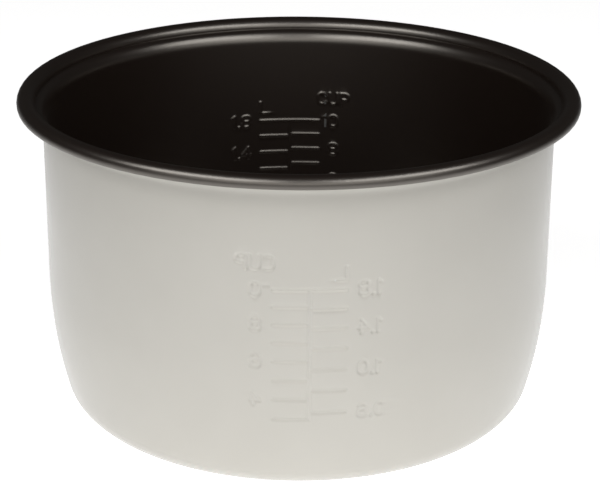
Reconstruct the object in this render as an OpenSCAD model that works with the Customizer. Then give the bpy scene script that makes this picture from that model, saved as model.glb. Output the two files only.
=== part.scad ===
// Inner pot of a ten-cup rice cooker: one deep-drawn aluminium pot, a black non-stick
// lining baked over its inside and its rolled rim, and a grey finish over its outside.
// Z = 0 is the flat base. The two pressed scales face -Y and +Y.

/* [Body] */
// Diameter of the upright wall, measured over the grey finish
body_d = 226; // [215:1:260]
// Height from the flat base to the top of the rolled rim
pot_h = 145; // [130:1:180]
// Thickness of the aluminium sheet
sheet_t = 1.4; // [1.2:0.1:2]

/* [Bowl] */
// Inside radius of the corner between the floor and the flank
corner_r = 12.5; // [8:0.5:20]
// Inside radius of the slow curve from the upright wall down to the corner
flank_r = 206.5; // [150:0.5:260]
// Angle that the flank turns inwards before the corner starts
flank_turn = 14.2; // [8:0.1:16]

/* [Rim] */
// Radius of the lined neck, the slow curve outwards from the upright wall
neck_r = 8.3; // [6.5:0.1:12]
// Angle that the neck turns outwards before the throat starts
neck_turn = 34; // [20:1:50]
// Radius of the lined throat, the tighter curve from the neck out to the crease
throat_r = 3.9; // [3.6:0.1:6]
// Radius of the bead's inner half, from the crease up to its top, over the lining
rise_r = 4.5; // [3.8:0.1:6]
// How far the crease lies below the middle of that inner half
crease_drop = 0.4; // [0.1:0.05:0.8]
// Radius of the bead's outer half, over the lining
bead_r = 3.7; // [3.4:0.1:6]
// Angle below the level of its middle to which the outer half is rolled
roll_past = 15; // [0:1:30]

/* [Coats] */
// Thickness of the black non-stick lining
lining_t = 0.25; // [0.2:0.01:0.35]
// Thickness of the grey outside finish
finish_t = 0.2; // [0.2:0.01:0.3]
// Angle round the base corner at which the outside finish starts
finish_start = 18; // [14:1:40]

/* [Scale] */
// Soaked rice and water under the line for no cups, in millilitres
first_ml = 62; // [0:1:200]
// Soaked rice and water added by the first cup, in millilitres
cup_ml = 394; // [300:1:420]
// How much less each further cup adds than the one before it, in millilitres
less_ml = 12.4; // [0:0.1:14]
// Dry rice in one cup, in litres
cup_litre = 0.18; // [0.16:0.01:0.2]
// Highest cup line
top_cup = 10; // [8:1:10]
// Lowest cup line
low_cup = 3; // [2:1:4]
// Depth of the pressed lines and figures
press_d = 0.45; // [0.3:0.05:0.7]
// Width of a pressed line or stroke
line_w = 1.1; // [0.8:0.05:1.5]
// Width of the upright line between the two columns
middle_w = 0.7; // [0.5:0.05:1.2]
// Length of a line, from the middle of the scale to its end
line_l = 15.3; // [11:0.1:18]
// Gap between the lines of the two columns
column_gap = 1.6; // [0.4:0.1:3]
// Height of the figures and letters
figure_h = 6.8; // [5:0.1:8]
// Width of the figures and letters
figure_w = 4.8; // [3.6:0.1:5.4]
// Clear space between two figures
figure_gap = 0.8; // [0.8:0.1:1.6]
// Clear space between a line and the figures beside it
label_gap = 4.4; // [3.6:0.1:6]
// Height of the feet of the litre heading above the top line
litre_lift = 3.4; // [2:0.1:6]
// Height of the feet of the cup heading above the top line
cup_lift = 8.2; // [7:0.1:12]

/* [Hidden] */

// Steps of the drawn arcs, in degrees, and sides of the whole round
arc_step = 10;
slow_step = 2.4;
figure_step = 30;
round_sides = 180;

// Depths below the free surface of the lining
metal_in = lining_t;
metal_out = lining_t + sheet_t;
finish_out = metal_out + finish_t;

// Places on the lined surface, as [radius, height]
floor_z = metal_out;
lined_r = body_d / 2 - finish_out;
corner_c = [lined_r - flank_r * (1 - cos(flank_turn)) - corner_r * cos(flank_turn), floor_z + corner_r];
flank_c = [lined_r - flank_r, corner_c[1] + (flank_r - corner_r) * sin(flank_turn)];
rise_z = pot_h - rise_r;
crease = [lined_r + neck_r - (neck_r - throat_r) * cos(neck_turn), rise_z - crease_drop];
throat_c = [crease[0], crease[1] - throat_r];
neck_c = throat_c + (neck_r - throat_r) * [cos(neck_turn), -sin(neck_turn)];
crease_a = asin(crease_drop / rise_r);
rise_c = [crease[0] + rise_r * cos(crease_a), rise_z];
bead_c = [rise_c[0], pot_h - bead_r];

// The middle of the sheet where the rolled edge ends
edge_c = bead_c + (bead_r - lining_t - sheet_t / 2) * [cos(roll_past), -sin(roll_past)];

// Points of an arc about c, from angle a0 to angle a1
function arc(c, r, a0, a1, step = arc_step) =
    let (n = max(2, ceil(abs(a1 - a0) / step)))
    [for (i = [0:n]) let (a = a0 + (a1 - a0) * i / n) c + r * [cos(a), sin(a)]];

function reversed(p) = [for (i = [len(p) - 1:-1:0]) p[i]];

// The lines below run at depth d under the lined surface, from the base outwards and up.
// The corner starts at an angle round it, where -90 is the flat base.
function corner_line(d, start) = arc(corner_c, corner_r + d, start, -flank_turn);
function flank_line(d) = arc(flank_c, flank_r + d, -flank_turn, 0, slow_step);
function neck_line(d) = arc(neck_c, neck_r - d, 180, 180 - neck_turn);
function throat_line(d) = concat(neck_line(d), arc(throat_c, throat_r - d, 180 - neck_turn, 90));
function crease_line(d) = d > 0 ? arc(crease, d, -90, 0) : [];
function rise_line(d) = arc(rise_c, rise_r - d, 180 + crease_a, 90);
function bead_line(d) = concat(rise_line(d), arc(bead_c, bead_r - d, 90, -roll_past));
function side_line(d, start = -90) =
    concat(corner_line(d, start), flank_line(d), throat_line(d), crease_line(d), bead_line(d));

// The rounded edge of the sheet, from either face to its very end
function inner_edge(d) = arc(edge_c, metal_in + sheet_t / 2 - d, -roll_past, -roll_past - 90);
function outer_edge(d) = arc(edge_c, d - metal_in - sheet_t / 2, 180 - roll_past, 270 - roll_past);

// Radius of the lined surface at a height, and the volume up to each height
function lined_radius(z) =
    z < corner_c[1] - corner_r * sin(flank_turn)
        ? corner_c[0] + sqrt(pow(corner_r, 2) - pow(corner_c[1] - z, 2))
        : z < flank_c[1] ? flank_c[0] + sqrt(pow(flank_r, 2) - pow(flank_c[1] - z, 2)) : lined_r;
slice = 0.5;
fill = [for (z = floor_z, v = 0; z < neck_c[1];
    v = v + PI * pow(lined_radius(z + slice / 2), 2) * slice, z = z + slice) [v, z]];

// Height of a cup line, and of the line for so many litres of dry rice
function cup_z(cups) =
    lookup(1000 * (first_ml + cup_ml * cups - less_ml * cups * (cups - 1) / 2), fill);
function litre_z(litres) = cup_z(litres / cup_litre);

// The litre lines count down in fifths of a litre. Tenths keep their sums exact.
top_tenths = round(10 * top_cup * cup_litre);
low_tenths = ceil(10 * low_cup * cup_litre);

// Across the flat drawing of a scale, the place of a point s millimetres round the wall
function across(s) = lined_r * sin(s / lined_r * 180 / PI);

// Half the width and half the height of a figure's middle line, and the radius of its bowls
fx = (figure_w - line_w) / 2;
fy = (figure_h - line_w) / 2;
bowl_r = fy / 2 - 0.1;

// Reach of the flag of a 1, and the width that a 1 takes in a row
flag = 1;
one_w = 1.7;

// Length of the flat drawing's cut into the wall, from outside the wall inwards
cut_l = body_d / 6;

// A stroke of width w along points p, with square ends that reach half a width further
function turned(v) = [-v[1], v[0]];
function way(p, i) = let (v = p[i + 1] - p[i]) v / norm(v);
function side_step(p, i) =
    let (last = len(p) - 1,
        m = turned(way(p, max(i - 1, 0))) + turned(way(p, min(i, last - 1))))
    2 * m / (m * m);
module stroke(p, w) {
    last = len(p) - 1;
    q = [for (i = [0:last])
        i == 0 ? p[0] - w / 2 * way(p, 0) : i == last ? p[last] + w / 2 * way(p, last - 1) : p[i]];
    polygon(concat(
        [for (i = [0:last]) q[i] + w / 2 * side_step(p, i)],
        [for (i = [last:-1:0]) q[i] - w / 2 * side_step(p, i)]));
}

// A closed stroke round a box from low to high, with corners of radius r
least_r = 0.1;
function round_box(low, high, r) = concat(
    arc([high[0] - r, high[1] - r], r, 0, 90, figure_step),
    arc([low[0] + r, high[1] - r], r, 90, 180, figure_step),
    arc([low[0] + r, low[1] + r], r, 180, 270, figure_step),
    arc([high[0] - r, low[1] + r], r, 270, 360, figure_step));
module loop(low, high, r, w) {
    half = [w / 2, w / 2];
    difference() {
        polygon(round_box(low - half, high + half, r + w / 2));
        polygon(round_box(low + half, high - half, max(r - w / 2, least_r)));
    }
}

function top_arc(a0, a1) = arc([0, fy - fx], fx, a0, a1, figure_step);
function foot_arc(a0, a1) = arc([0, fx - fy], fx, a0, a1, figure_step);

// One figure or letter of stroke width w, centred on the origin
module figure(c, w) {
    if (c == "0") loop([-fx, -fy], [fx, fy], fx, w);
    if (c == "1") stroke([[-flag, fy - flag], [0, fy], [0, -fy]], w);
    if (c == "2") stroke(concat(top_arc(170, -20), [[-fx, -fy], [fx, -fy]]), w);
    if (c == "3") for (up = [-1, 1])
        stroke(arc([0, up * fy / 2], fy / 2, up * 150, up * -90, figure_step), w);
    if (c == "4") {
        stroke([[fx / 2, fy], [-fx, -fy / 3]], w);
        stroke([[-fx, -fy / 3], [fx, -fy / 3]], w);
        stroke([[fx / 2, fy / 3], [fx / 2, -fy]], w);
    }
    if (c == "5") {
        stroke([[fx, fy], [-fx, fy], [-fx, 0]], w);
        stroke(foot_arc(150, -160), w);
    }
    if (c == "6" || c == "9") rotate(c == "9" ? 180 : 0) {
        loop([-fx, -fy], [fx, fy / 8], bowl_r, w);
        stroke(concat(top_arc(40, 180), [[-fx, -fy / 2]]), w);
    }
    if (c == "7") stroke([[-fx, fy], [fx, fy], [0, -fy]], w);
    if (c == "8") {
        loop([-fx, -fy], [fx, 0], bowl_r, w);
        loop([-fx, 0], [fx, fy], bowl_r, w);
    }
    if (c == "C") stroke(concat(top_arc(20, 180), foot_arc(180, 340)), w);
    if (c == "U") stroke(concat([[-fx, fy]], foot_arc(180, 360), [[fx, fy]]), w);
    if (c == "P") {
        loop([-fx, -fy / 8], [fx, fy], bowl_r, w);
        stroke([[-fx, fy - fx], [-fx, -fy]], w);
        stroke([[-fx, fy], [0, fy]], w);
    }
    if (c == "L") stroke([[-fx, fy], [-fx, -fy], [fx, -fy]], w);
    if (c == ".") translate([0, -fy]) square(w, center = true);
}

// Width that a figure takes in a row, and the row's width up to figure n
function figure_width(c) = c == "." ? line_w : c == "1" ? one_w : figure_w;
function row_width(s, n) =
    n <= 0 ? 0 : row_width(s, n - 1) + figure_width(s[n - 1]) + (n < len(s) ? figure_gap : 0);

// A row of figures that ends at s millimetres round the wall, its middle at height z
module row(text_row, end, z, w) {
    start = end - row_width(text_row, len(text_row));
    for (i = [0:len(text_row) - 1]) {
        at = start + row_width(text_row, i) + figure_width(text_row[i]) / 2;
        translate([across(at), z]) figure(text_row[i], w);
    }
}

// One line of the scale, from s0 to s1 millimetres round the wall
module line(s0, s1, z, w) {
    stroke([[across(s0) + line_w / 2, z], [across(s1) - line_w / 2, z]], w);
}

// The flat drawing of a scale as the inside of the +Y wall shows it. Grow widens each stroke.
module scale_drawing(grow) {
    w = line_w + 2 * grow;
    top_z = cup_z(top_cup);
    heading_z = top_z + figure_h / 2;
    line(-line_l, line_l, top_z, w);
    stroke([[0, top_z], [0, cup_z(low_cup)]], middle_w + 2 * grow);
    for (cups = [low_cup:top_cup - 1]) line(column_gap / 2, line_l, cup_z(cups), w);
    for (tenths = [top_tenths - 2:-2:low_tenths])
        line(-line_l, -column_gap / 2, litre_z(tenths / 10), w);
    for (cups = [top_cup:-2:low_cup])
        row(str(cups), line_l + label_gap + figure_w, cup_z(cups), w);
    for (tenths = [top_tenths:-4:low_tenths])
        row(str(floor(tenths / 10), ".", tenths % 10), -line_l - label_gap, litre_z(tenths / 10), w);
    row("CUP", line_l + label_gap + figure_w * 2 + figure_gap, heading_z + cup_lift, w);
    row("L", figure_w - line_l, heading_z + litre_lift, w);
}

// The wall between two depths, as high as the scale can reach
module wall_band(d0, d1) {
    rotate_extrude($fn = round_sides) polygon(concat(flank_line(d0), [[lined_r + d0, neck_c[1]]],
        [[lined_r + d1, neck_c[1]]], reversed(flank_line(d1))));
}

// Both scales, pressed between two depths of the wall
module scales(d0, d1, grow) {
    intersection() {
        wall_band(d0, d1);
        for (turn = [0, 180]) rotate(turn) translate([0, body_d / 2 + press_d, 0])
            rotate([90, 0, 0]) linear_extrude(cut_l) scale_drawing(grow);
    }
}

// Drawn sheet: bare flat base, wall, throat and rolled rim, with raised lines inside
// and matching grooves outside
module pot_shell() color("silver") {
    difference() {
        rotate_extrude($fn = round_sides) polygon(concat(
            [[0, floor_z - metal_in]], side_line(metal_in), inner_edge(metal_in),
            reversed(outer_edge(metal_out)), reversed(side_line(metal_out)), [[0, 0]]));
        scales(metal_out - press_d, finish_out + press_d, finish_t);
    }
    scales(metal_in - press_d, metal_in + press_d, 0);
}

// Lining: over the floor, the wall, the throat and the rolled rim down to its edge
module nonstick_lining() color([0.07, 0.066, 0.062]) {
    difference() {
        union() {
            rotate_extrude($fn = round_sides) polygon(concat(
                [[0, floor_z]], side_line(0), inner_edge(0),
                reversed(inner_edge(metal_in)), reversed(side_line(metal_in)), [[0, floor_z - metal_in]]));
            scales(-press_d, metal_in / 2, lining_t);
        }
        scales(metal_in - press_d, metal_in + press_d, 0);
    }
}

// Finish: from a turned line round the base corner, up the wall and under the rim
module outer_finish() color([0.62, 0.61, 0.59]) {
    start = finish_start - 90;
    difference() {
        union() {
            rotate_extrude($fn = round_sides) polygon(concat(
                side_line(metal_out, start), outer_edge(metal_out),
                reversed(outer_edge(finish_out)), reversed(side_line(finish_out, start))));
            scales(metal_out - press_d, metal_out + finish_t / 2, finish_t);
        }
        scales(finish_out - press_d, finish_out + press_d, 0);
    }
}

pot_shell();
nonstick_lining();
outer_finish();
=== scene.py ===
# Inner pot of a rice cooker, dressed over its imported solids.
# The lining and the outside finish are worked out again as fine surfaces,
# and the bare sheet under them keeps its solid. Lengths are in millimetres until a mesh is made.
import bpy
import math
import numpy as np
from mathutils import Matrix, Vector


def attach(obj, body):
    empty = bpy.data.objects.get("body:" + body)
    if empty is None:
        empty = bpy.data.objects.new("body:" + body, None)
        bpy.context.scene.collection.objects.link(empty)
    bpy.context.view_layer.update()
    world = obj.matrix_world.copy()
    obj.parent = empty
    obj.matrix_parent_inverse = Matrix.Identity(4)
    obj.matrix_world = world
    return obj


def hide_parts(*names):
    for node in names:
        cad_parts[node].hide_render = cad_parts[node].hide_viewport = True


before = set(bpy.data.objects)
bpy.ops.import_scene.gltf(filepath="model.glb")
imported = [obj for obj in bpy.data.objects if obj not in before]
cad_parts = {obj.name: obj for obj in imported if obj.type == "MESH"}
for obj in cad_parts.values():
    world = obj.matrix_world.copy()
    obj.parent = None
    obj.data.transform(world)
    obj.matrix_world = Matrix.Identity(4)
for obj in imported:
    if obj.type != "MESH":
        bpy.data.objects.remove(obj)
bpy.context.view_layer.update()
print("stage: frame loaded")

# Shape of the pot

pot = {
    "bodyD": 226.0,       # upright wall, over the finish
    "potH": 145.0,        # flat base to the top of the rolled rim
    "sheetT": 1.4,
    "cornerR": 12.5,      # inside corner between floor and flank
    "flankR": 206.5,      # slow curve of the flank
    "flankTurn": 14.2,    # degrees
    "neckR": 8.3,         # slow curve outwards from the wall
    "neckTurn": 34.0,     # degrees
    "throatR": 3.9,       # tighter curve from the neck to the crease
    "riseR": 4.5,         # inner half of the bead, from the crease to its top
    "creaseDrop": 0.4,
    "beadR": 3.7,         # outer half of the bead
    "rollPast": 15.0,     # degrees below the middle of the outer half
    "liningT": 0.25,
    "finishT": 0.2,
    "finishStart": 18.0,  # degrees round the base corner
}

metalOut = pot["liningT"] + pot["sheetT"]
finishOut = metalOut + pot["finishT"]
linedR = pot["bodyD"] / 2 - finishOut
turn = math.radians(pot["flankTurn"])
cornerC = (linedR - pot["flankR"] * (1 - math.cos(turn)) - pot["cornerR"] * math.cos(turn),
           metalOut + pot["cornerR"])
flankC = (linedR - pot["flankR"], cornerC[1] + (pot["flankR"] - pot["cornerR"]) * math.sin(turn))
riseZ = pot["potH"] - pot["riseR"]
neckTurn = math.radians(pot["neckTurn"])
neckArm = pot["neckR"] - pot["throatR"]
creaseP = (linedR + pot["neckR"] - neckArm * math.cos(neckTurn), riseZ - pot["creaseDrop"])
throatC = (creaseP[0], creaseP[1] - pot["throatR"])
neckC = (linedR + pot["neckR"], throatC[1] - neckArm * math.sin(neckTurn))
creaseA = math.degrees(math.asin(pot["creaseDrop"] / pot["riseR"]))
riseC = (creaseP[0] + pot["riseR"] * math.cos(math.radians(creaseA)), riseZ)
beadC = (riseC[0], pot["potH"] - pot["beadR"])
halfSheet = pot["sheetT"] / 2
edgeArm = pot["beadR"] - pot["liningT"] - halfSheet
edgeC = (beadC[0] + edgeArm * math.cos(math.radians(pot["rollPast"])),
         beadC[1] - edgeArm * math.sin(math.radians(pot["rollPast"])))


# Spacing of the rows and columns of points, in millimetres and degrees

spacing = {
    "clear": 0.3,              # kept free between the wall's rows and the arcs next to them
    "throatSide": 0.8,         # narrow rows on both sides of the crease keep it sharp
    "riseSide": 0.9,
    "crease": (-60, -30),      # degrees round the crease, seen from under it
    "topClear": 0.5,           # kept free before the top of the bead
    "fine": 0.41,              # between points where the marks are
    "reach": 1.4,              # how far the fine points go past a stroke
    "tall": 3.2,               # between heights elsewhere
    "round": 1.9,              # between places round the wall beside the marks
    "between": 36,             # angles between the front marks and the back marks
    "columnDepth": 1.2,        # the columns stand under the marks at this depth in the wall
    "low": 14.0,               # lowest and highest row on the wall
    "high": 133.0,
    "halfWidth": 34.0,         # of the part of the wall round which the marks lie
    "longLine": 6.0,           # a level stroke longer than this has fine points at its ends alone
    "tallLine": 12.0,          # an upright stroke longer than this has none of its own
    "pressedLow": 30.0,        # rows between these heights are pressed
    "pressedHigh": 115.0,
    "floorRadii": (6.0, 18.0, 34.0, 50.0, 66.0, 80.0, 89.0),
    "backHeights": (20.0, 32.0, 46.0, 62.0, 84.0, 108.0, 132.0),
    "liningFace": (6, 5, 5),   # degrees of corner, throat and bead from row to row
    "liningBack": (15, 15, 15),
    "finishFace": (6, 12, 12),
    "finishBack": (15, 15, 20),
    "behindLow": 25.0,         # between these heights the back of the finish lies deeper in the sheet
    "behindHigh": 120.0,
    "behindDepth": 0.8,
    "liningEdge": (10, 20, 30, 40, 50, 60, 70, 80),  # degrees round the sheet's edge
    "liningUnder": (80, 50, 25),
    "finishEdge": (205, 230, 252, 270),
    "finishUnder": (270, 230),
    "least": 0.01,             # shortest length that counts
}


def arc(centre, radius, degrees):
    # centre + radius * (cos a, sin a) for each angle, as an array of (radius, height)
    a = np.radians(np.asarray(degrees, float))
    return np.stack([centre[0] + radius * np.cos(a), centre[1] + radius * np.sin(a)], -1)


def wallRows(depth, heights):
    # Below the flank's centre a circle about it, above it a straight wall
    z = np.asarray(heights, float)
    drop = np.minimum(z - flankC[1], 0.0)
    big = pot["flankR"] + depth
    return np.stack([flankC[0] + np.sqrt(big * big - drop * drop), z], -1)


def sideProfile(depth, start, heights, steps):
    # The line at one depth under the lined surface, from the base corner to the end of the bead:
    # corner arc, flank and wall, neck arc, throat arc, crease arc where there is one, both bead arcs
    cornerStep, throatStep, beadStep = steps
    count = max(3, int((-pot["flankTurn"] - start) / cornerStep))
    corner = arc(cornerC, pot["cornerR"] + depth, np.linspace(start, -pot["flankTurn"], count))
    wall = wallRows(depth, heights)
    lowest, highest = corner[-1, 1] + spacing["clear"], neckC[1] - spacing["clear"]
    wall = wall[(wall[:, 1] > lowest) & (wall[:, 1] < highest)]
    joint = 180 - pot["neckTurn"]
    neck = arc(neckC, pot["neckR"] - depth, np.arange(180, joint + 1, -throatStep))
    throatTurns = np.linspace(joint, 90 + throatStep, int((joint - 90) / throatStep))
    throatTurns = np.append(throatTurns, [90 + spacing["throatSide"], 90])
    throat = arc(throatC, pot["throatR"] - depth, throatTurns)
    crease = arc(creaseP, depth, spacing["crease"]) if depth > 0 else np.zeros((0, 2))
    first = 180 + creaseA
    riseTurns = np.arange(first - beadStep, 90 + spacing["topClear"], -beadStep)
    riseTurns = np.append([first, first - spacing["riseSide"]], riseTurns)
    rise = arc(riseC, pot["riseR"] - depth, riseTurns if depth > 0 else riseTurns[1:])
    beadTurns = np.linspace(90, -pot["rollPast"], int((90 + pot["rollPast"]) / beadStep) + 1)
    bead = arc(beadC, pot["beadR"] - depth, beadTurns)
    return np.concatenate([corner, wall, neck, throat, crease, rise, bead])


# Pressed scale

scale = {
    "firstMl": 62.0,      # soaked rice and water under the line for no cups
    "cupMl": 394.0,       # what the first cup adds
    "lessMl": 12.4,       # and how much less each further cup adds
    "cupLitre": 0.18,
    "topCup": 10,
    "lowCup": 3,
    "pressD": 0.40,       # depth of the marks as shown, softened a little by both coats
    "lineW": 1.1,
    "middleW": 0.7,
    "lineL": 15.3,
    "columnGap": 1.6,
    "figureH": 6.8,
    "figureW": 4.8,
    "figureGap": 0.8,
    "labelGap": 4.4,
    "litreLift": 3.4,
    "cupLift": 8.2,
    "flag": 1.0,
    "oneW": 1.7,
    "flatPart": 0.35,     # share of a mark's half width that stays flat
    "slope": 0.95,        # width of the rounded slope beside it
    "dotL": 0.2,
    "bowlClear": 0.1,     # kept straight between the two bends of a figure's bowl
    "bendStep": 12.0,     # degrees
    "slice": 0.5,         # height of a slice of the volume
}


def fillTable():
    # Heights in thin slices, each with the volume below it: sum of pi r^2 dz
    thin = scale["slice"]
    z = np.arange(metalOut, neckC[1], thin)
    mid = z + thin / 2
    cornerTop = cornerC[1] - pot["cornerR"] * math.sin(turn)
    low = cornerC[0] + np.sqrt(np.maximum(pot["cornerR"] ** 2 - (cornerC[1] - mid) ** 2, 0))
    r = np.where(mid < cornerTop, low, wallRows(0, mid)[:, 0])
    return z, np.concatenate([[0], np.cumsum(math.pi * r * r * thin)[:-1]])


tableZ, tableV = fillTable()


def cupZ(cups):
    # Height at which the pot holds first + cup * n - less * n (n - 1) / 2 millilitres
    held = scale["firstMl"] + scale["cupMl"] * cups - scale["lessMl"] * cups * (cups - 1) / 2
    return float(np.interp(1000 * held, tableV, tableZ))


def bend(cx, cz, radius, a0, a1):
    # Part of a circle as a line of short steps
    a = np.radians(np.linspace(a0, a1, max(3, int(abs(a1 - a0) / scale["bendStep"]))))
    return np.stack([cx + radius * np.cos(a), cz + radius * np.sin(a)], -1)


def boxLoop(x0, z0, x1, z1, r):
    # A closed line round a box with rounded corners
    parts = [bend(x1 - r, z1 - r, r, 0, 90), bend(x0 + r, z1 - r, r, 90, 180),
             bend(x0 + r, z0 + r, r, 180, 270), bend(x1 - r, z0 + r, r, 270, 360)]
    loop = np.concatenate(parts)
    return np.concatenate([loop, loop[:1]])


def figureLines(sign):
    # The strokes of one figure or letter about its own centre
    fx = (scale["figureW"] - scale["lineW"]) / 2
    fz = (scale["figureH"] - scale["lineW"]) / 2
    bowl = fz / 2 - scale["bowlClear"]
    dot = scale["dotL"] / 2
    line = lambda *points: np.array(points, float)
    flag = scale["flag"]
    top = lambda a0, a1: bend(0, fz - fx, fx, a0, a1)
    foot = lambda a0, a1: bend(0, fx - fz, fx, a0, a1)
    six = [boxLoop(-fx, -fz, fx, fz / 8, bowl), np.concatenate([top(40, 180), line((-fx, -fz / 2))])]
    return {
        "0": [boxLoop(-fx, -fz, fx, fz, fx)],
        "1": [line((-flag, fz - flag), (0, fz), (0, -fz))],
        "2": [np.concatenate([top(170, -20), line((-fx, -fz), (fx, -fz))])],
        "4": [line((fx / 2, fz), (-fx, -fz / 3)), line((-fx, -fz / 3), (fx, -fz / 3)),
              line((fx / 2, fz / 3), (fx / 2, -fz))],
        "6": six,
        "8": [boxLoop(-fx, -fz, fx, 0, bowl), boxLoop(-fx, 0, fx, fz, bowl)],
        "C": [np.concatenate([top(20, 180), foot(180, 340)])],
        "U": [np.concatenate([line((-fx, fz)), foot(180, 360), line((fx, fz))])],
        "P": [boxLoop(-fx, -fz / 8, fx, fz, bowl), line((-fx, fz - fx), (-fx, -fz)),
              line((-fx, fz), (0, fz))],
        "L": [line((-fx, fz), (-fx, -fz), (fx, -fz))],
        ".": [line((-dot, -fz), (dot, -fz))],
    }[sign]


def across(s):
    # Place in the flat drawing of a point s millimetres round the wall
    return linedR * math.sin(s / linedR)


def scaleStrokes():
    # Every stroke of the scale as (points, width), with x to the right seen from inside the pot
    strokes = []
    widths = {".": scale["lineW"], "1": scale["oneW"]}

    def writeRow(words, end, z):
        sizes = [widths.get(sign, scale["figureW"]) for sign in words]
        start = end - sum(sizes) - scale["figureGap"] * (len(words) - 1)
        for sign, size in zip(words, sizes):
            for points in figureLines(sign):
                strokes.append((points + [across(start + size / 2), z], scale["lineW"]))
            start += size + scale["figureGap"]

    def drawLine(s0, s1, z):
        half = scale["lineW"] / 2
        strokes.append((np.array([(across(s0) + half, z), (across(s1) - half, z)]), scale["lineW"]))

    lineL, gap, topZ = scale["lineL"], scale["columnGap"] / 2, cupZ(scale["topCup"])
    drawLine(-lineL, lineL, topZ)
    strokes.append((np.array([(0, topZ), (0, cupZ(scale["lowCup"]))]), scale["middleW"]))
    for cups in range(scale["lowCup"], scale["topCup"]):
        drawLine(gap, lineL, cupZ(cups))
    topTenths = round(10 * scale["topCup"] * scale["cupLitre"])
    lowTenths = math.ceil(10 * scale["lowCup"] * scale["cupLitre"])
    for tenths in range(topTenths - 2, lowTenths - 1, -2):
        drawLine(-lineL, -gap, cupZ(tenths / 10 / scale["cupLitre"]))
    for cups in range(scale["topCup"], scale["lowCup"] - 1, -2):
        writeRow(str(cups), lineL + scale["labelGap"] + scale["figureW"], cupZ(cups))
    for tenths in range(topTenths, lowTenths - 1, -4):
        writeRow(f"{tenths // 10}.{tenths % 10}", -lineL - scale["labelGap"],
                 cupZ(tenths / 10 / scale["cupLitre"]))
    headZ = topZ + scale["figureH"] / 2
    writeRow("CUP", lineL + scale["labelGap"] + 2 * scale["figureW"] + scale["figureGap"],
             headZ + scale["cupLift"])
    writeRow("L", scale["figureW"] - lineL, headZ + scale["litreLift"])
    return strokes


strokes = scaleStrokes()
# Every straight piece of a stroke as one row: both ends and the width
segments = np.concatenate([
    np.concatenate([points[:-1], points[1:], np.full((len(points) - 1, 1), width)], 1)
    for points, width in strokes])
segmentL = np.hypot(segments[:, 2] - segments[:, 0], segments[:, 3] - segments[:, 1])
segments = segments[segmentL > spacing["least"]]


def pressedHeight(x, z):
    # How far the sheet is pressed at flat places (x, z): the full depth on the middle of the nearest
    # stroke, then a smooth step down to nothing. The distance is to the nearest straight piece.
    height = np.zeros(x.shape)
    reach = spacing["reach"]
    for x0, z0, x1, z1, width in segments:
        near = ((x > min(x0, x1) - reach) & (x < max(x0, x1) + reach)
                & (z > min(z0, z1) - reach) & (z < max(z0, z1) + reach))
        if not near.any():
            continue
        px, pz = x[near] - x0, z[near] - z0
        dx, dz = x1 - x0, z1 - z0
        t = np.clip((px * dx + pz * dz) / (dx * dx + dz * dz), 0, 1)
        away = np.hypot(px - t * dx, pz - t * dz)
        k = np.clip((away - width / 2 * scale["flatPart"]) / scale["slope"], 0, 1)
        height[near] = np.maximum(height[near], 1 - k * k * (3 - 2 * k))
    return height * scale["pressD"]


def unevenLine(low, high, ranges, coarse):
    # Places from low to high: fine steps inside the ranges, coarse ones outside them
    at = low + np.arange(int((high - low) / spacing["fine"]) + 1) * spacing["fine"]
    inside = np.zeros(len(at), bool)
    for start, end in ranges:
        inside |= (at > start) & (at < end)
    places, last = [low], low
    for place, fineHere in zip(at[1:], inside[1:]):
        if fineHere or place - last >= coarse:
            places.append(place)
            last = place
    return np.array(places)


def scaleGrid():
    # Heights and angles of the points: close together where a stroke is, far apart elsewhere
    x0, z0, x1, z1 = segments[:, :4].T
    reach, halfWidth = spacing["reach"], spacing["halfWidth"]
    level = np.abs(z1 - z0) < spacing["least"]
    short = segments[np.abs(z1 - z0) < spacing["tallLine"]]
    zRanges = [(min(s[1], s[3]) - reach, max(s[1], s[3]) + reach) for s in short]
    heights = unevenLine(spacing["low"], spacing["high"], zRanges, spacing["tall"])
    long = level & (np.abs(x1 - x0) > spacing["longLine"])
    xRanges = [(min(s[0], s[2]) - reach, max(s[0], s[2]) + reach) for s in segments[~long]]
    xRanges += [(end - reach, end + reach) for s in segments[long] for end in (s[0], s[2])]
    places = unevenLine(-halfWidth, halfWidth, xRanges, spacing["round"])
    near = np.degrees(np.arcsin(places / (linedR + spacing["columnDepth"])))
    between = np.linspace(near[-1], 180 + near[0], spacing["between"] + 2)[1:-1]
    half = np.concatenate([near, between])
    return heights, np.radians(np.concatenate([half, half + 180]) + 90)


rowHeights, columnAngles = scaleGrid()
print("stage: scale worked out,", len(segments), "stroke pieces,",
      len(rowHeights), "heights,", len(columnAngles), "angles")


def turnedGrid(profile, angles):
    # (r, z) turned about Z: x = r cos a, y = r sin a, one row of points for each place on the profile
    r, z = profile[:, 0][:, None], profile[:, 1][:, None]
    flat = np.broadcast_to(z, (len(profile), len(angles)))
    return np.stack([r * np.cos(angles), r * np.sin(angles), flat], -1)


def pressGrid(grid, profile, rows):
    # Moves the chosen rows towards the cavity by the pressed height, along the profile's normal
    along = np.gradient(profile, axis=0)
    along /= np.linalg.norm(along, axis=1)[:, None]
    part = grid[rows]
    x = part[..., 0] * np.sign(part[..., 1])
    height = pressedHeight(x, part[..., 2])
    radius = np.hypot(part[..., 0], part[..., 1])
    outR, outZ = along[rows, 1][:, None], -along[rows, 0][:, None]
    scaleXY = 1 - height * outR / radius
    part = np.stack([part[..., 0] * scaleXY, part[..., 1] * scaleXY, part[..., 2] - height * outZ], -1)
    grid[rows] = part
    return grid


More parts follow.
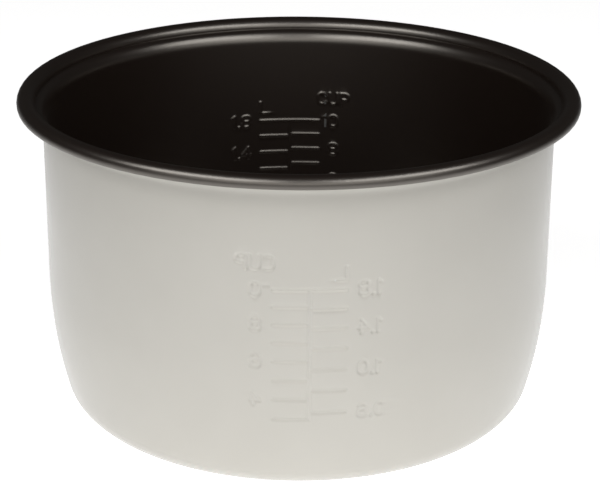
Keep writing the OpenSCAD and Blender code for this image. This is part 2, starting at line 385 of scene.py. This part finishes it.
def gridObject(name, grid, lowPole=None, highPole=None, ring=False):
    # Joins rows of points that go right round into one closed mesh. A pole closes an end with a fan,
    # and ring joins the last row to the first.
    rows, columns = grid.shape[:2]
    points = grid.reshape(-1, 3)
    index = np.arange(rows * columns).reshape(rows, columns)
    if ring:
        index = np.concatenate([index, index[:1]])
    right = np.roll(index, -1, 1)
    quads = np.stack([index[:-1], index[1:], right[1:], right[:-1]], -1).reshape(-1, 4)
    fans = []
    for pole, row, order in ((lowPole, index[0], -1), (highPole, index[-1], 1)):
        if pole is not None:
            points = np.concatenate([points, [pole]])
            tip = np.full(columns, len(points) - 1)
            fans.append(np.stack([np.roll(row, -1), row, tip][::order], -1))
    mesh = bpy.data.meshes.new(name)
    fans = np.concatenate(fans) if fans else np.zeros((0, 3), int)
    loops = np.concatenate([quads.ravel(), fans.ravel()])
    sizes = np.concatenate([np.full(len(quads), 4), np.full(len(fans), 3)])
    mesh.vertices.add(len(points))
    mesh.vertices.foreach_set("co", (points / 1000).astype(np.float32).ravel())
    mesh.loops.add(len(loops))
    mesh.loops.foreach_set("vertex_index", loops.astype(np.int32))
    mesh.polygons.add(len(sizes))
    mesh.polygons.foreach_set("loop_start", (np.cumsum(sizes) - sizes).astype(np.int32))
    mesh.update(calc_edges=True)
    mesh.validate()
    mesh.shade_smooth()
    made = bpy.data.objects.new(name, mesh)
    bpy.context.scene.collection.objects.link(made)
    print("stage:", name, int((sizes - 2).sum()), "triangles")
    return made


def makeLining():
    # Free surface from the floor's middle to the rim's edge, then back along the sheet under it
    sheetFace = metalOut - pot["liningT"]
    floorR = np.array(spacing["floorRadii"])
    underR = floorR[::-2]
    floor = np.stack([floorR, np.full(len(floorR), metalOut)], -1)
    under = np.stack([underR, np.full(len(underR), sheetFace)], -1)
    face = sideProfile(0, -90, rowHeights, spacing["liningFace"])
    edge = arc(edgeC, halfSheet + pot["liningT"], -pot["rollPast"] - np.array(spacing["liningEdge"]))
    backEdge = arc(edgeC, halfSheet, -pot["rollPast"] - np.array(spacing["liningUnder"]))
    back = sideProfile(pot["liningT"], -90, spacing["backHeights"], spacing["liningBack"])[::-1]
    profile = np.concatenate([floor, face, edge, backEdge, back, under])
    grid = turnedGrid(profile, columnAngles)
    onWall = (face[:, 1] > spacing["pressedLow"]) & (face[:, 1] < spacing["pressedHigh"])
    grid = pressGrid(grid, profile, len(floor) + np.flatnonzero(onWall))
    lining = gridObject("nonstickSkin", grid, lowPole=(0, 0, metalOut), highPole=(0, 0, sheetFace))
    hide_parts("nonstick_lining")
    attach(lining, "root")
    return lining


def makeFinish():
    # Outer face from its turned line round the base corner up to the rim's edge, and back inside the
    # sheet, deeper behind the scale than the grooves reach
    start = pot["finishStart"] - 90
    face = sideProfile(finishOut, start, rowHeights, spacing["finishFace"])
    edge = arc(edgeC, halfSheet + pot["finishT"], np.array(spacing["finishEdge"]) - pot["rollPast"])
    backEdge = arc(edgeC, halfSheet, np.array(spacing["finishUnder"]) - pot["rollPast"])
    back = sideProfile(metalOut, start, spacing["backHeights"], spacing["finishBack"])[::-1]
    behind = (back[:, 1] > spacing["behindLow"]) & (back[:, 1] < spacing["behindHigh"])
    back[behind, 0] -= spacing["behindDepth"]
    profile = np.concatenate([face, edge, backEdge, back])
    grid = turnedGrid(profile, columnAngles)
    onWall = (face[:, 1] > spacing["pressedLow"]) & (face[:, 1] < spacing["pressedHigh"])
    grid = pressGrid(grid, profile, np.flatnonzero(onWall))
    # The rows run the other way here, so that the faces still point outwards
    finish = gridObject("matteSkin", grid[::-1], ring=True)
    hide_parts("outer_finish")
    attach(finish, "root")
    return finish


lining = makeLining()
finish = makeFinish()
sheet = bpy.data.objects["pot_shell"]


def newMaterial(name):
    made = bpy.data.materials.new(name)
    made.use_nodes = True
    nodes = made.node_tree.nodes
    nodes.clear()
    output = nodes.new("ShaderNodeOutputMaterial")
    shader = nodes.new("ShaderNodeBsdfPrincipled")
    made.node_tree.links.new(shader.outputs["BSDF"], output.inputs["Surface"])
    return made, made.node_tree, shader


def grainGroup():
    # Two sizes of noise on a given place: Fine and Broad, each from 0 to 1
    tree = bpy.data.node_groups.new("coatGrain", "ShaderNodeTree")
    tree.interface.new_socket("Place", in_out="INPUT", socket_type="NodeSocketVector")
    tree.interface.new_socket("Per metre", in_out="INPUT", socket_type="NodeSocketFloat")
    tree.interface.new_socket("Broad share", in_out="INPUT", socket_type="NodeSocketFloat")
    tree.interface.new_socket("Fine", in_out="OUTPUT", socket_type="NodeSocketFloat")
    tree.interface.new_socket("Broad", in_out="OUTPUT", socket_type="NodeSocketFloat")
    given = tree.nodes.new("NodeGroupInput")
    put = tree.nodes.new("NodeGroupOutput")
    fine = tree.nodes.new("ShaderNodeTexNoise")
    fine.inputs["Detail"].default_value = 2
    broad = tree.nodes.new("ShaderNodeTexNoise")
    broad.inputs["Detail"].default_value = 3
    times = tree.nodes.new("ShaderNodeMath")
    times.operation = "MULTIPLY"
    link = tree.links.new
    link(given.outputs["Place"], fine.inputs["Vector"])
    link(given.outputs["Place"], broad.inputs["Vector"])
    link(given.outputs["Per metre"], fine.inputs["Scale"])
    link(given.outputs["Per metre"], times.inputs[0])
    link(given.outputs["Broad share"], times.inputs[1])
    link(times.outputs[0], broad.inputs["Scale"])
    link(fine.outputs["Fac"], put.inputs["Fine"])
    link(broad.outputs["Fac"], put.inputs["Broad"])
    return tree


def turnedGroup():
    # Noise of the distance from the pot's axis alone, so that each line it gives is a ring
    tree = bpy.data.node_groups.new("turnedRings", "ShaderNodeTree")
    tree.interface.new_socket("Place", in_out="INPUT", socket_type="NodeSocketVector")
    tree.interface.new_socket("Per metre", in_out="INPUT", socket_type="NodeSocketFloat")
    tree.interface.new_socket("Ring", in_out="OUTPUT", socket_type="NodeSocketFloat")
    given = tree.nodes.new("NodeGroupInput")
    put = tree.nodes.new("NodeGroupOutput")
    flatten = tree.nodes.new("ShaderNodeVectorMath")
    flatten.operation = "MULTIPLY"
    flatten.inputs[1].default_value = (1, 1, 0)
    radius = tree.nodes.new("ShaderNodeVectorMath")
    radius.operation = "LENGTH"
    ring = tree.nodes.new("ShaderNodeTexNoise")
    ring.noise_dimensions = "1D"
    ring.inputs["Detail"].default_value = 3
    link = tree.links.new
    link(given.outputs["Place"], flatten.inputs[0])
    link(flatten.outputs["Vector"], radius.inputs[0])
    link(radius.outputs["Value"], ring.inputs["W"])
    link(given.outputs["Per metre"], ring.inputs["Scale"])
    link(ring.outputs["Fac"], put.inputs["Ring"])
    return tree


coatGrain = grainGroup()
turnedRings = turnedGroup()


def coatMaterial(look):
    # Two colours mixed by broad noise, roughness and a slight bump from fine noise. On a turned
    # surface both become noise * (1 - rings) + turned rings * rings
    made, tree, shader = newMaterial(look["name"])
    link = tree.links.new
    place = tree.nodes.new("ShaderNodeTexCoord")
    grain = tree.nodes.new("ShaderNodeGroup")
    grain.node_tree = coatGrain
    grain.inputs["Per metre"].default_value = look["grainPerMetre"]
    grain.inputs["Broad share"].default_value = look["broadShare"]
    link(place.outputs["Object"], grain.inputs["Place"])
    tint = tree.nodes.new("ShaderNodeMix")
    tint.data_type = "RGBA"
    tint.inputs["A"].default_value = (*look["colourA"], 1)
    tint.inputs["B"].default_value = (*look["colourB"], 1)
    link(tint.outputs["Result"], shader.inputs["Base Color"])
    broad, fine = grain.outputs["Broad"], grain.outputs["Fine"]
    if look["rings"] > 0:
        turned = tree.nodes.new("ShaderNodeGroup")
        turned.node_tree = turnedRings
        turned.inputs["Per metre"].default_value = look["ringsPerMetre"]
        link(place.outputs["Object"], turned.inputs["Place"])
        blends = [tree.nodes.new("ShaderNodeMix"), tree.nodes.new("ShaderNodeMix")]
        for blend, noise in zip(blends, (broad, fine)):
            blend.inputs["Factor"].default_value = look["rings"]
            link(noise, blend.inputs["A"])
            link(turned.outputs["Ring"], blend.inputs["B"])
        broad, fine = [blend.outputs["Result"] for blend in blends]
    link(broad, tint.inputs["Factor"])
    rough = tree.nodes.new("ShaderNodeMapRange")
    rough.inputs["To Min"].default_value = look["roughLow"]
    rough.inputs["To Max"].default_value = look["roughHigh"]
    link(fine, rough.inputs["Value"])
    link(rough.outputs["Result"], shader.inputs["Roughness"])
    bump = tree.nodes.new("ShaderNodeBump")
    bump.inputs["Strength"].default_value = look["bump"]
    bump.inputs["Distance"].default_value = look["bumpDepth"]
    link(fine, bump.inputs["Height"])
    link(bump.outputs["Normal"], shader.inputs["Normal"])
    shader.inputs["Metallic"].default_value = look["metallic"]
    shader.inputs["Specular IOR Level"].default_value = look["specular"]
    shader.inputs["Specular Tint"].default_value = (*look["mirrorTint"], 1)
    shader.inputs["IOR"].default_value = look["ior"]
    shader.inputs["Coat Weight"].default_value = look["clear"]
    shader.inputs["Coat Roughness"].default_value = look["clearRough"]
    return made


liningLook = {
    "name": "blackNonstick",
    "colourA": (0.0055, 0.0020, 0.0010),
    "colourB": (0.0070, 0.0030, 0.0018),
    "grainPerMetre": 1400,
    "broadShare": 0.03,
    "roughLow": 0.29,
    "roughHigh": 0.34,
    "rings": 0.0,
    "bump": 0.25,
    "bumpDepth": 0.00008,
    "metallic": 0.0,
    "specular": 0.9,
    "mirrorTint": (1.0, 0.94, 0.86),
    "ior": 1.8,
    "clear": 0.0,
    "clearRough": 0.2,
}
finishLook = {
    "name": "warmGreyFinish",
    "colourA": (0.570, 0.552, 0.506),
    "colourB": (0.610, 0.592, 0.545),
    "grainPerMetre": 2600,
    "broadShare": 0.012,
    "roughLow": 0.42,
    "roughHigh": 0.50,
    "rings": 0.0,
    "bump": 0.2,
    "bumpDepth": 0.00005,
    "metallic": 0.5,
    "specular": 0.5,
    "mirrorTint": (1.0, 1.0, 1.0),
    "ior": 1.5,
    "clear": 0.8,
    "clearRough": 0.16,
}
sheetLook = {
    "name": "turnedAluminium",
    "colourA": (0.48, 0.48, 0.47),
    "colourB": (0.80, 0.80, 0.79),
    "grainPerMetre": 900,
    "broadShare": 0.05,
    "roughLow": 0.24,
    "roughHigh": 0.44,
    "rings": 0.9,
    "ringsPerMetre": 420,
    "bump": 0.8,
    "bumpDepth": 0.0002,
    "metallic": 1.0,
    "specular": 0.5,
    "mirrorTint": (1.0, 1.0, 1.0),
    "ior": 1.5,
    "clear": 0.0,
    "clearRough": 0.2,
}
lining.data.materials.append(coatMaterial(liningLook))
finish.data.materials.append(coatMaterial(finishLook))
sheetMaterial = coatMaterial(sheetLook)
for place in sheet.material_slots:
    place.material = sheetMaterial
print("stage: materials made")

# Stage, lights and camera

stageLook = {
    "floorSize": 6.0,
    "floorColour": (0.90, 0.90, 0.90),
    "floorRough": 0.9,
    "floorSpecular": 0.1,
    "floorDrop": 0.0002,    # metres under the base, so that the two never share a plane
    "floorGlow": 0.75,      # added for the camera's own view only, so that the paper is white there
    "reflectionGlow": 0.67,  # glow that only mirrored rays see close to the pot: a painted reflection of brighter paper in the coats, not light on the floor
    "mirroredNear": 0.28,   # metres from the pot's middle to where this painted reflection glow starts to fall
    "mirroredFar": 0.60,    # and to where it has gone
}


def makeFloor():
    # Diffuse paper plus glow = camera glow * camera ray + painted reflection glow * share near the pot *
    # mirrored ray. The mirrored part is a painted reflection that brightens the coats towards the pot's
    # foot
    half = stageLook["floorSize"] / 2
    mesh = bpy.data.meshes.new("whiteFloor")
    corners = [(-half, -half, 0), (half, -half, 0), (half, half, 0), (-half, half, 0)]
    mesh.from_pydata(corners, [], [(0, 1, 2, 3)])
    floor = bpy.data.objects.new("whiteFloor", mesh)
    floor.location.z = -stageLook["floorDrop"]
    bpy.context.scene.collection.objects.link(floor)
    made, tree, shader = newMaterial("whitePaper")
    shader.inputs["Base Color"].default_value = (*stageLook["floorColour"], 1)
    shader.inputs["Roughness"].default_value = stageLook["floorRough"]
    shader.inputs["Specular IOR Level"].default_value = stageLook["floorSpecular"]
    ray = tree.nodes.new("ShaderNodeLightPath")
    glow = tree.nodes.new("ShaderNodeEmission")
    seen = tree.nodes.new("ShaderNodeMath")
    seen.operation = "MULTIPLY"
    seen.inputs[1].default_value = stageLook["floorGlow"]
    place = tree.nodes.new("ShaderNodeTexCoord")
    distance = tree.nodes.new("ShaderNodeVectorMath")
    distance.operation = "LENGTH"
    # share of the painted reflection glow: full near the pot, gone farther out
    reflectionGlowShare = tree.nodes.new("ShaderNodeMapRange")
    reflectionGlowShare.inputs["From Min"].default_value = stageLook["mirroredFar"]
    reflectionGlowShare.inputs["From Max"].default_value = stageLook["mirroredNear"]
    reflectionGlowShare.inputs["To Max"].default_value = stageLook["reflectionGlow"]
    # strength of the glow: camera glow plus the painted reflection seen by mirrored rays
    mirrored = tree.nodes.new("ShaderNodeMath")
    mirrored.operation = "MULTIPLY_ADD"
    both = tree.nodes.new("ShaderNodeAddShader")
    output = [n for n in tree.nodes if n.type == "OUTPUT_MATERIAL"][0]
    tree.links.new(ray.outputs["Is Camera Ray"], seen.inputs[0])
    tree.links.new(place.outputs["Object"], distance.inputs[0])
    tree.links.new(distance.outputs["Value"], reflectionGlowShare.inputs["Value"])
    tree.links.new(ray.outputs["Is Glossy Ray"], mirrored.inputs[0])
    tree.links.new(reflectionGlowShare.outputs["Result"], mirrored.inputs[1])
    tree.links.new(seen.outputs[0], mirrored.inputs[2])
    tree.links.new(mirrored.outputs[0], glow.inputs["Strength"])
    tree.links.new(shader.outputs["BSDF"], both.inputs[0])
    tree.links.new(glow.outputs["Emission"], both.inputs[1])
    tree.links.new(both.outputs["Shader"], output.inputs["Surface"])
    mesh.materials.append(made)


makeFloor()

lamps = {
    "leftBox": {"at": (-0.68, -0.70, 0.93), "to": (0, 0, 0.12), "size": (1.15, 0.50), "watts": 6.9},
    "rightBox": {"at": (0.66, -0.72, 0.93), "to": (0, 0, 0.12), "size": (1.15, 0.50), "watts": 6.0},
}
for name, lamp in lamps.items():
    light = bpy.data.lights.new(name, "AREA")
    light.shape = "RECTANGLE"
    light.size, light.size_y = lamp["size"]
    light.energy = lamp["watts"]
    made = bpy.data.objects.new(name, light)
    made.location = lamp["at"]
    made.rotation_euler = (Vector(lamp["to"]) - Vector(lamp["at"])).to_track_quat("-Z", "Y").to_euler()
    bpy.context.scene.collection.objects.link(made)


roomLook = {
    "all": 0.03,          # plain strength everywhere
    "front": 1.65,        # added low in front of the pot
    "frontLow": 0.25,     # height of a ray's direction at which the added part is full
    "frontTop": 0.60,     # and at which it has gone again
    "horizon": 0.20,      # share of it left at the horizon
    "sideStart": -0.38,   # how far a ray must point forwards before it sees the added part
    "sideFull": -0.95,
    "colour": (1.0, 0.985, 0.955),
}


def makeWorld():
    # Camera rays see plain white. Other rays see
    # strength = all + front * forward share * band, with the band a ramp up from the horizon and a
    # ramp down above it
    world = bpy.data.worlds.new("paleRoom")
    bpy.context.scene.world = world
    world.use_nodes = True
    tree = world.node_tree
    tree.nodes.clear()
    link = tree.links.new
    output = tree.nodes.new("ShaderNodeOutputWorld")
    mix = tree.nodes.new("ShaderNodeMixShader")
    room = tree.nodes.new("ShaderNodeBackground")
    room.inputs["Color"].default_value = (*roomLook["colour"], 1)
    white = tree.nodes.new("ShaderNodeBackground")
    white.inputs["Color"].default_value = (1, 1, 1, 1)
    white.inputs["Strength"].default_value = 1
    ray = tree.nodes.new("ShaderNodeLightPath")
    place = tree.nodes.new("ShaderNodeTexCoord")
    split = tree.nodes.new("ShaderNodeSeparateXYZ")
    forward = tree.nodes.new("ShaderNodeMapRange")
    forward.inputs["From Min"].default_value = roomLook["sideStart"]
    forward.inputs["From Max"].default_value = roomLook["sideFull"]
    low = tree.nodes.new("ShaderNodeMapRange")
    low.inputs["From Min"].default_value = roomLook["frontTop"]
    low.inputs["From Max"].default_value = roomLook["frontLow"]
    rise = tree.nodes.new("ShaderNodeMapRange")
    rise.inputs["From Max"].default_value = roomLook["frontLow"]
    rise.inputs["To Min"].default_value = roomLook["horizon"]
    band = tree.nodes.new("ShaderNodeMath")
    band.operation = "MULTIPLY"
    both = tree.nodes.new("ShaderNodeMath")
    both.operation = "MULTIPLY"
    strength = tree.nodes.new("ShaderNodeMath")
    strength.operation = "MULTIPLY_ADD"
    strength.inputs[1].default_value = roomLook["front"]
    strength.inputs[2].default_value = roomLook["all"]
    link(place.outputs["Generated"], split.inputs["Vector"])
    link(split.outputs["Y"], forward.inputs["Value"])
    link(split.outputs["Z"], low.inputs["Value"])
    link(forward.outputs["Result"], both.inputs[0])
    link(split.outputs["Z"], rise.inputs["Value"])
    link(low.outputs["Result"], band.inputs[0])
    link(rise.outputs["Result"], band.inputs[1])
    link(band.outputs[0], both.inputs[1])
    link(both.outputs[0], strength.inputs[0])
    link(strength.outputs[0], room.inputs["Strength"])
    link(ray.outputs["Is Camera Ray"], mix.inputs["Fac"])
    link(room.outputs["Background"], mix.inputs[1])
    link(white.outputs["Background"], mix.inputs[2])
    link(mix.outputs["Shader"], output.inputs["Surface"])


makeWorld()

view = {
    "turnZ": -2.42,       # degrees round Z from looking along +Y
    "away": 0.84973,      # metres from the middle of the rim
    "elevation": 16.52,
    "pitch": -4.90,
    "yaw": -0.054,
    "roll": 0.294,
    "lens": 114.91,
    "sensorW": 36.0,
    "nearest": 0.05,      # metres
    "farthest": 20.0,
}


def makeCamera():
    # Placed by its bearing and height over the rim's middle, turned to it, then pitched, turned and
    # rolled a little
    turnZ, lift = math.radians(view["turnZ"]), math.radians(view["elevation"])
    back = Matrix.Rotation(turnZ, 3, "Z") @ Vector((0, -math.cos(lift), math.sin(lift)))
    ahead = -back
    right = Matrix.Rotation(turnZ, 3, "Z") @ Vector((1, 0, 0))
    up = right.cross(ahead)
    tip = Matrix.Rotation(math.radians(view["pitch"]), 3, right)
    ahead, up = tip @ ahead, tip @ up
    side = Matrix.Rotation(math.radians(view["yaw"]), 3, up)
    ahead, right = side @ ahead, side @ right
    roll = math.radians(view["roll"])
    right, up = right * math.cos(roll) + up * math.sin(roll), up * math.cos(roll) - right * math.sin(roll)
    camera = bpy.data.objects.new("mainCamera", bpy.data.cameras.new("mainCamera"))
    bpy.context.scene.collection.objects.link(camera)
    turned = Matrix((right, up, -ahead)).transposed().to_4x4()
    rimMiddle = Vector((0, 0, pot["potH"] / 1000))
    camera.matrix_world = Matrix.Translation(rimMiddle + back * view["away"]) @ turned
    camera.data.sensor_width = view["sensorW"]
    camera.data.lens = view["lens"]
    camera.data.clip_start, camera.data.clip_end = view["nearest"], view["farthest"]
    bpy.context.scene.camera = camera


makeCamera()
bpy.context.scene.view_settings.view_transform = "Standard"
print("stage: scene finished")
